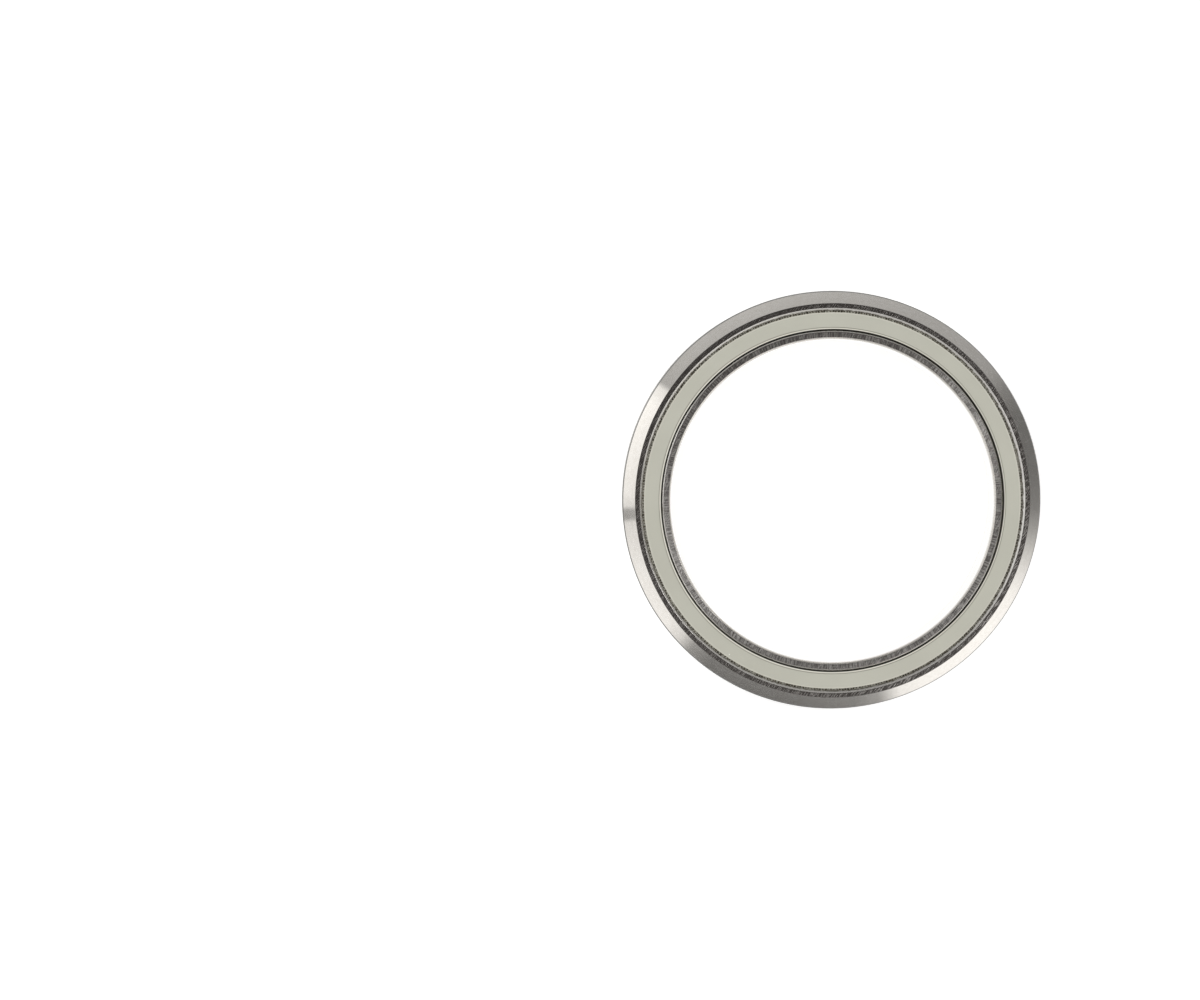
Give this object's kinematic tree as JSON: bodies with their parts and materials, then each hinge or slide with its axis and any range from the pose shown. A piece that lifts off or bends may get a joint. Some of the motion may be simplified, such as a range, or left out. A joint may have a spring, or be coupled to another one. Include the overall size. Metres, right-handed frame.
{
  "type": "headset bearing",
  "caption": "Sealed angular contact cartridge bearing with bevelled seating edges, ground steel rings, balls in a snap-in cage and moulded rubber seals.",
  "frame": {"origin": "on the bearing's axis, at its bottom face, which is the side with the bevel at the bore", "axes": "+Z along the axis, towards the face with the outer bevel"},
  "size_m": [0.052, 0.052, 0.007],
  "materials": {
    "ground_steel": "ground bearing steel, satin, with grinding marks on its faces",
    "ball_steel": "polished",
    "seal_rubber": "matte grey moulded rubber",
    "cage_nylon": "natural nylon"
  },
  "bodies": {
    "outer": {"outer_ring": "ground_steel", "top_seal": "seal_rubber", "bottom_seal": "seal_rubber"},
    "inner": {"inner_ring": "ground_steel"},
    "cage": {"cage": "cage_nylon"},
    "ball_01": {"ball_01": "ball_steel"},
    "ball_02": {"ball_02": "ball_steel"},
    "ball_03": {"ball_03": "ball_steel"},
    "ball_04": {"ball_04": "ball_steel"},
    "ball_05": {"ball_05": "ball_steel"},
    "ball_06": {"ball_06": "ball_steel"},
    "ball_07": {"ball_07": "ball_steel"},
    "ball_08": {"ball_08": "ball_steel"},
    "ball_09": {"ball_09": "ball_steel"},
    "ball_10": {"ball_10": "ball_steel"},
    "ball_11": {"ball_11": "ball_steel"},
    "ball_12": {"ball_12": "ball_steel"},
    "ball_13": {"ball_13": "ball_steel"},
    "ball_14": {"ball_14": "ball_steel"},
    "ball_15": {"ball_15": "ball_steel"},
    "ball_16": {"ball_16": "ball_steel"},
    "ball_17": {"ball_17": "ball_steel"},
    "ball_18": {"ball_18": "ball_steel"},
    "ball_19": {"ball_19": "ball_steel"},
    "ball_20": {"ball_20": "ball_steel"},
    "ball_21": {"ball_21": "ball_steel"},
    "ball_22": {"ball_22": "ball_steel"},
    "ball_23": {"ball_23": "ball_steel"},
    "ball_24": {"ball_24": "ball_steel"},
    "ball_25": {"ball_25": "ball_steel"},
    "ball_26": {"ball_26": "ball_steel"},
    "ball_27": {"ball_27": "ball_steel"},
    "ball_28": {"ball_28": "ball_steel"},
    "ball_29": {"ball_29": "ball_steel"},
    "ball_30": {"ball_30": "ball_steel"},
    "ball_31": {"ball_31": "ball_steel"},
    "ball_32": {"ball_32": "ball_steel"}
  },
  "joints": [
    {"name": "inner_spin", "type": "hinge", "parent": "outer", "child": "inner", "pos_m": [0, 0, 0.0035], "axis": [0, 0, 1], "continuous": true},
    {"name": "cage_spin", "type": "hinge", "parent": "outer", "child": "cage", "pos_m": [0, 0, 0.0035], "axis": [0, 0, 1], "continuous": true},
    {"name": "ball_01_spin", "type": "hinge", "parent": "cage", "child": "ball_01", "pos_m": [0.02289, 0.00225, 0.0035], "axis": [-0.7037, -0.0693, 0.7071], "continuous": true},
    {"name": "ball_02_spin", "type": "hinge", "parent": "cage", "child": "ball_02", "pos_m": [0.02201, 0.00668, 0.0035], "axis": [-0.6767, -0.2053, 0.7071], "continuous": true},
    {"name": "ball_03_spin", "type": "hinge", "parent": "cage", "child": "ball_03", "pos_m": [0.02028, 0.01084, 0.0035], "axis": [-0.6236, -0.3333, 0.7071], "continuous": true},
    {"name": "ball_04_spin", "type": "hinge", "parent": "cage", "child": "ball_04", "pos_m": [0.01778, 0.01459, 0.0035], "axis": [-0.5466, -0.4486, 0.7071], "continuous": true},
    {"name": "ball_05_spin", "type": "hinge", "parent": "cage", "child": "ball_05", "pos_m": [0.01459, 0.01778, 0.0035], "axis": [-0.4486, -0.5466, 0.7071], "continuous": true},
    {"name": "ball_06_spin", "type": "hinge", "parent": "cage", "child": "ball_06", "pos_m": [0.01084, 0.02028, 0.0035], "axis": [-0.3333, -0.6236, 0.7071], "continuous": true},
    {"name": "ball_07_spin", "type": "hinge", "parent": "cage", "child": "ball_07", "pos_m": [0.00668, 0.02201, 0.0035], "axis": [-0.2053, -0.6767, 0.7071], "continuous": true},
    {"name": "ball_08_spin", "type": "hinge", "parent": "cage", "child": "ball_08", "pos_m": [0.00225, 0.02289, 0.0035], "axis": [-0.0693, -0.7037, 0.7071], "continuous": true},
    {"name": "ball_09_spin", "type": "hinge", "parent": "cage", "child": "ball_09", "pos_m": [-0.00225, 0.02289, 0.0035], "axis": [0.0693, -0.7037, 0.7071], "continuous": true},
    {"name": "ball_10_spin", "type": "hinge", "parent": "cage", "child": "ball_10", "pos_m": [-0.00668, 0.02201, 0.0035], "axis": [0.2053, -0.6767, 0.7071], "continuous": true},
    {"name": "ball_11_spin", "type": "hinge", "parent": "cage", "child": "ball_11", "pos_m": [-0.01084, 0.02028, 0.0035], "axis": [0.3333, -0.6236, 0.7071], "continuous": true},
    {"name": "ball_12_spin", "type": "hinge", "parent": "cage", "child": "ball_12", "pos_m": [-0.01459, 0.01778, 0.0035], "axis": [0.4486, -0.5466, 0.7071], "continuous": true},
    {"name": "ball_13_spin", "type": "hinge", "parent": "cage", "child": "ball_13", "pos_m": [-0.01778, 0.01459, 0.0035], "axis": [0.5466, -0.4486, 0.7071], "continuous": true},
    {"name": "ball_14_spin", "type": "hinge", "parent": "cage", "child": "ball_14", "pos_m": [-0.02028, 0.01084, 0.0035], "axis": [0.6236, -0.3333, 0.7071], "continuous": true},
    {"name": "ball_15_spin", "type": "hinge", "parent": "cage", "child": "ball_15", "pos_m": [-0.02201, 0.00668, 0.0035], "axis": [0.6767, -0.2053, 0.7071], "continuous": true},
    {"name": "ball_16_spin", "type": "hinge", "parent": "cage", "child": "ball_16", "pos_m": [-0.02289, 0.00225, 0.0035], "axis": [0.7037, -0.0693, 0.7071], "continuous": true},
    {"name": "ball_17_spin", "type": "hinge", "parent": "cage", "child": "ball_17", "pos_m": [-0.02289, -0.00225, 0.0035], "axis": [0.7037, 0.0693, 0.7071], "continuous": true},
    {"name": "ball_18_spin", "type": "hinge", "parent": "cage", "child": "ball_18", "pos_m": [-0.02201, -0.00668, 0.0035], "axis": [0.6767, 0.2053, 0.7071], "continuous": true},
    {"name": "ball_19_spin", "type": "hinge", "parent": "cage", "child": "ball_19", "pos_m": [-0.02028, -0.01084, 0.0035], "axis": [0.6236, 0.3333, 0.7071], "continuous": true},
    {"name": "ball_20_spin", "type": "hinge", "parent": "cage", "child": "ball_20", "pos_m": [-0.01778, -0.01459, 0.0035], "axis": [0.5466, 0.4486, 0.7071], "continuous": true},
    {"name": "ball_21_spin", "type": "hinge", "parent": "cage", "child": "ball_21", "pos_m": [-0.01459, -0.01778, 0.0035], "axis": [0.4486, 0.5466, 0.7071], "continuous": true},
    {"name": "ball_22_spin", "type": "hinge", "parent": "cage", "child": "ball_22", "pos_m": [-0.01084, -0.02028, 0.0035], "axis": [0.3333, 0.6236, 0.7071], "continuous": true},
    {"name": "ball_23_spin", "type": "hinge", "parent": "cage", "child": "ball_23", "pos_m": [-0.00668, -0.02201, 0.0035], "axis": [0.2053, 0.6767, 0.7071], "continuous": true},
    {"name": "ball_24_spin", "type": "hinge", "parent": "cage", "child": "ball_24", "pos_m": [-0.00225, -0.02289, 0.0035], "axis": [0.0693, 0.7037, 0.7071], "continuous": true},
    {"name": "ball_25_spin", "type": "hinge", "parent": "cage", "child": "ball_25", "pos_m": [0.00225, -0.02289, 0.0035], "axis": [-0.0693, 0.7037, 0.7071], "continuous": true},
    {"name": "ball_26_spin", "type": "hinge", "parent": "cage", "child": "ball_26", "pos_m": [0.00668, -0.02201, 0.0035], "axis": [-0.2053, 0.6767, 0.7071], "continuous": true},
    {"name": "ball_27_spin", "type": "hinge", "parent": "cage", "child": "ball_27", "pos_m": [0.01084, -0.02028, 0.0035], "axis": [-0.3333, 0.6236, 0.7071], "continuous": true},
    {"name": "ball_28_spin", "type": "hinge", "parent": "cage", "child": "ball_28", "pos_m": [0.01459, -0.01778, 0.0035], "axis": [-0.4486, 0.5466, 0.7071], "continuous": true},
    {"name": "ball_29_spin", "type": "hinge", "parent": "cage", "child": "ball_29", "pos_m": [0.01778, -0.01459, 0.0035], "axis": [-0.5466, 0.4486, 0.7071], "continuous": true},
    {"name": "ball_30_spin", "type": "hinge", "parent": "cage", "child": "ball_30", "pos_m": [0.02028, -0.01084, 0.0035], "axis": [-0.6236, 0.3333, 0.7071], "continuous": true},
    {"name": "ball_31_spin", "type": "hinge", "parent": "cage", "child": "ball_31", "pos_m": [0.02201, -0.00668, 0.0035], "axis": [-0.6767, 0.2053, 0.7071], "continuous": true},
    {"name": "ball_32_spin", "type": "hinge", "parent": "cage", "child": "ball_32", "pos_m": [0.02289, -0.00225, 0.0035], "axis": [-0.7037, 0.0693, 0.7071], "continuous": true}
  ],
  "couplings": [
    {"joint": "cage_spin", "follows": "inner_spin", "ratio": 0.4756},
    {"joint": "ball_01_spin", "follows": "inner_spin", "ratio": -7.2268},
    {"joint": "ball_02_spin", "follows": "inner_spin", "ratio": -7.2268},
    {"joint": "ball_03_spin", "follows": "inner_spin", "ratio": -7.2268},
    {"joint": "ball_04_spin", "follows": "inner_spin", "ratio": -7.2268},
    {"joint": "ball_05_spin", "follows": "inner_spin", "ratio": -7.2268},
    {"joint": "ball_06_spin", "follows": "inner_spin", "ratio": -7.2268},
    {"joint": "ball_07_spin", "follows": "inner_spin", "ratio": -7.2268},
    {"joint": "ball_08_spin", "follows": "inner_spin", "ratio": -7.2268},
    {"joint": "ball_09_spin", "follows": "inner_spin", "ratio": -7.2268},
    {"joint": "ball_10_spin", "follows": "inner_spin", "ratio": -7.2268},
    {"joint": "ball_11_spin", "follows": "inner_spin", "ratio": -7.2268},
    {"joint": "ball_12_spin", "follows": "inner_spin", "ratio": -7.2268},
    {"joint": "ball_13_spin", "follows": "inner_spin", "ratio": -7.2268},
    {"joint": "ball_14_spin", "follows": "inner_spin", "ratio": -7.2268},
    {"joint": "ball_15_spin", "follows": "inner_spin", "ratio": -7.2268},
    {"joint": "ball_16_spin", "follows": "inner_spin", "ratio": -7.2268},
    {"joint": "ball_17_spin", "follows": "inner_spin", "ratio": -7.2268},
    {"joint": "ball_18_spin", "follows": "inner_spin", "ratio": -7.2268},
    {"joint": "ball_19_spin", "follows": "inner_spin", "ratio": -7.2268},
    {"joint": "ball_20_spin", "follows": "inner_spin", "ratio": -7.2268},
    {"joint": "ball_21_spin", "follows": "inner_spin", "ratio": -7.2268},
    {"joint": "ball_22_spin", "follows": "inner_spin", "ratio": -7.2268},
    {"joint": "ball_23_spin", "follows": "inner_spin", "ratio": -7.2268},
    {"joint": "ball_24_spin", "follows": "inner_spin", "ratio": -7.2268},
    {"joint": "ball_25_spin", "follows": "inner_spin", "ratio": -7.2268},
    {"joint": "ball_26_spin", "follows": "inner_spin", "ratio": -7.2268},
    {"joint": "ball_27_spin", "follows": "inner_spin", "ratio": -7.2268},
    {"joint": "ball_28_spin", "follows": "inner_spin", "ratio": -7.2268},
    {"joint": "ball_29_spin", "follows": "inner_spin", "ratio": -7.2268},
    {"joint": "ball_30_spin", "follows": "inner_spin", "ratio": -7.2268},
    {"joint": "ball_31_spin", "follows": "inner_spin", "ratio": -7.2268},
    {"joint": "ball_32_spin", "follows": "inner_spin", "ratio": -7.2268}
  ]
}
